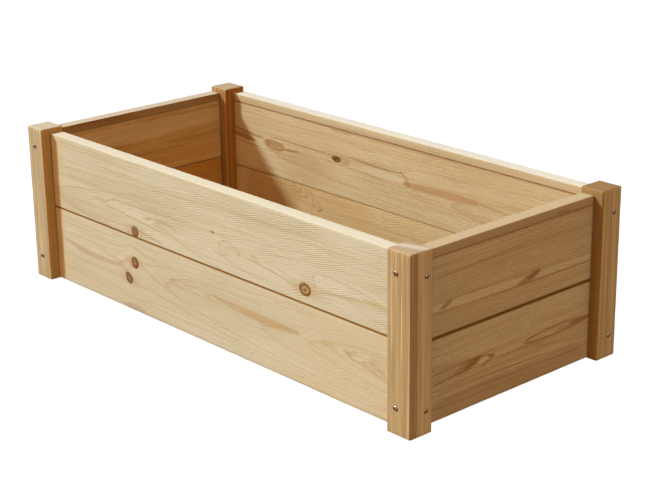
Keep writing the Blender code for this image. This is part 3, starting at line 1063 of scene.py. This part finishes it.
screwShape = {
    "headRadius": 0.0039, "headRim": 0.0006, "headDome": 0.0014, "rimRound": 0.0002,
    "shankRadius": 0.0018, "coreRadius": 0.0014, "coreStart": 0.030, "coreTaper": 0.0008,
    "length": 0.080, "tip": 0.007, "segments": 40, "domeFacets": 9,
    "recessLength": 0.0044, "recessWidth": 0.0008, "recessDepth": 0.0009, "recessTaper": (0.55, 0.8),
    "turn": 37,         # degrees from one screw to the next
}

steelLook = {
    "bright": (0.66, 0.62, 0.57), "dull": (0.40, 0.37, 0.33), "grime": (0.10, 0.08, 0.06), "grimeShare": 0.6,
    "roughLow": 0.20, "roughHigh": 0.36, "relief": 0.00003,
}


def steelMaterial():
    look = steelLook
    material, tree, shader = newMaterial("zincSteel")
    place = addNode(tree, "ShaderNodeTexCoord", "Object")
    cloud = stretchedNoise(place, (700.0, 700.0, 700.0), 3.0, 0.0)
    grime = stretchedNoise(place, (260.0, 260.0, 260.0), 2.0, 4.0)
    colour = tint(ramp(cloud, 0.35, 0.7), whole(look["bright"]), whole(look["dull"]))
    colour = blend(colour, ramp(grime, 0.5, 0.7), look["grimeShare"], look["grime"])
    put(colour, shader["Base Color"])
    put(ramp(cloud, 0.3, 0.7, look["roughLow"], look["roughHigh"]), shader["Roughness"])
    put(1.0, shader["Metallic"])
    put(bumpFrom(cloud, look["relief"]), shader["Normal"])
    return material


def screwMesh():                            # Z = 0 under the head, the tip points to -Z
    shape = screwShape
    head, shank, core, rim = shape["headRadius"], shape["shankRadius"], shape["coreRadius"], shape["rimRound"]
    angles = [math.radians(90) * step / shape["domeFacets"] for step in range(shape["domeFacets"] + 1)]
    lift, dome = shape["headRim"], shape["headDome"]
    points = [(head * math.sin(angle), lift + dome * math.cos(angle)) for angle in angles]
    points += [
        (head, rim), (head - rim, 0.0), (shank + rim, 0.0), (shank, -rim), (shank, -shape["coreStart"]),
        (core, -shape["coreStart"] - shape["coreTaper"]), (core, shape["tip"] - shape["length"]),
        (0.0, -shape["length"]),
    ]
    work = bmesh.new()
    verts = [work.verts.new((radius, 0, height)) for radius, height in points]
    edges = [work.edges.new(pair) for pair in zip(verts, verts[1:])]
    bmesh.ops.spin(work, geom=verts + edges, axis=(0, 0, 1), cent=(0, 0, 0), angle=math.radians(360),
                   steps=shape["segments"], use_merge=True)
    bmesh.ops.remove_doubles(work, verts=work.verts, dist=1e-7)
    bmesh.ops.recalc_face_normals(work, faces=work.faces)
    blank = newObject("screwBlank", meshFrom(work, "screwBlank"))

    blades = bmesh.new()
    narrow, thin = shape["recessTaper"]     # the lower end of a blade against its top
    for turn in (0, 90):                    # two blades make the cross
        made = bmesh.ops.create_cube(blades, size=1.0)["verts"]
        for vert in made:
            if vert.co.z < 0:
                vert.co.x *= narrow
                vert.co.y *= thin
        size = (shape["recessLength"], shape["recessWidth"], 2 * shape["recessDepth"])
        bmesh.ops.scale(blades, vec=size, verts=made)
        turned = Matrix.Rotation(math.radians(turn), 3, "Z")
        bmesh.ops.rotate(blades, cent=(0, 0, 0), matrix=turned, verts=made)
        bmesh.ops.translate(blades, vec=(0, 0, lift + dome), verts=made)
    mesh = cutShapes(blank, blades, crossing=True)
    bpy.data.objects.remove(blank, do_unlink=True)
    smoothMesh(mesh)
    return mesh


def makeScrews():
    steel = steelMaterial()
    pattern = screwMesh()
    headHeight = screwShape["headRim"] + screwShape["headDome"]
    for count, node in enumerate(screwNodes):
        top, tip, out = screwAxis(node)
        mesh = pattern.copy()
        turned = out.to_track_quat("Z", "Y").to_matrix().to_4x4()
        spun = Matrix.Rotation(math.radians(screwShape["turn"]) * count, 4, "Z")
        mesh.transform(Matrix.Translation(top - out * headHeight) @ turned @ spun)
        mesh.materials.clear()
        mesh.materials.append(steel)
        screw = newObject("steelScrew" + node[5:], mesh)
        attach(screw, "root")
        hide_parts(node)


makeScrews()
print("screws made")


# Floor, light and camera

studio = {
    "floorSize": 30.0, "floorColour": (0.05, 0.05, 0.05), "floorVaries": 0.985, "floorRough": 0.9,
    "floorGlow": (0.99, 0.99, 0.99),
    "background": (1.0, 1.0, 1.0), "skyGlow": (0.56, 0.40, 0.24), "lowGlow": (0.20, 0.10, 0.04),
    "sunAim": (1.0, 0.8, -1.02), "sunPower": 5.85, "sunAngle": 8.5, "sunColour": (0.505, 0.757, 1.0),
    "fillAim": (0.25, 1.0, -0.45), "fillPower": 0.636, "fillAngle": 70.0, "fillColour": (1.0, 0.61, 0.25),
    "sideAim": (-1.0, 0.2, -0.5), "sidePower": 0.85, "sideAngle": 28.0, "sideColour": (0.70, 0.90, 1.0),
}


def makeStudio():
    work = bmesh.new()
    bmesh.ops.create_grid(work, x_segments=4, y_segments=4, size=studio["floorSize"] / 2)
    floor = newObject("studioFloor", meshFrom(work, "studioFloor"))
    material, tree, shader = newMaterial("paleFloor")
    cloud = stretchedNoise(addNode(tree, "ShaderNodeTexCoord", "Object"), (3.0, 3.0, 3.0), 2.0, 0.0)
    base = studio["floorColour"]
    darker = [part * studio["floorVaries"] for part in base]
    put(tint(ramp(cloud, 0.3, 0.7), whole(base), whole(darker)), shader["Base Color"])
    put(studio["floorRough"], shader["Roughness"])
    put(whole(studio["floorGlow"]), shader["Emission Color"])
    put(1.0, shader["Emission Strength"])
    floor.data.materials.append(material)
    floor.visible_diffuse = False
    floor.visible_glossy = False

    for name in ("sun", "fill", "side"):
        lamp = bpy.data.lights.new(name + "Lamp", "SUN")
        lamp.energy = studio[name + "Power"]
        lamp.angle = math.radians(studio[name + "Angle"])
        lamp.color = studio[name + "Colour"]
        holder = newObject(name + "Lamp", lamp)
        holder.rotation_mode = "QUATERNION"
        holder.rotation_quaternion = Vector(studio[name + "Aim"]).to_track_quat("-Z", "Y")

    world = bpy.data.worlds.new("studioWorld")
    world.use_nodes = True
    tree = world.node_tree
    ambient = tree.nodes["Background"]
    upwards = ramp(separate(addNode(tree, "ShaderNodeTexCoord", "Generated"))[2], -0.25, 0.65)
    put(tint(upwards, whole(studio["lowGlow"]), whole(studio["skyGlow"])), ambient.inputs["Color"])
    backdrop = {"Color": whole(studio["background"]), "Strength": 1.0}
    shown = addNode(tree, "ShaderNodeBackground", 0, None, backdrop)
    ray = addNode(tree, "ShaderNodeLightPath", "Is Camera Ray")
    mixed = addNode(tree, "ShaderNodeMixShader", 0, None, {0: ray, 1: Signal(ambient.outputs[0]), 2: shown})
    put(mixed, tree.nodes["World Output"].inputs["Surface"])
    scene.world = world


cameraView = {
    "place": (2.06645, -1.81512, 1.08136),
    "heading": 47.990,          # degrees from +Y towards -X
    "down": 19.155, "roll": -0.712,
    "lens": 91.66, "sensor": 36.0, "nearest": 0.05, "farthest": 60.0,
}


def makeCamera():
    view = cameraView
    camera = bpy.data.cameras.new("photoCamera")
    camera.lens = view["lens"]
    camera.sensor_width = view["sensor"]
    camera.clip_start = view["nearest"]
    camera.clip_end = view["farthest"]
    holder = newObject("photoCamera", camera)
    turned = Matrix.Rotation(math.radians(view["heading"]), 4, "Z")
    turned = turned @ Matrix.Rotation(math.radians(90 - view["down"]), 4, "X")
    turned = turned @ Matrix.Rotation(math.radians(view["roll"]), 4, "Z")
    holder.matrix_world = Matrix.Translation(view["place"]) @ turned
    scene.camera = holder


makeStudio()
makeCamera()
scene.view_settings.view_transform = "Standard"
print("studio made")

bpy.context.view_layer.update()
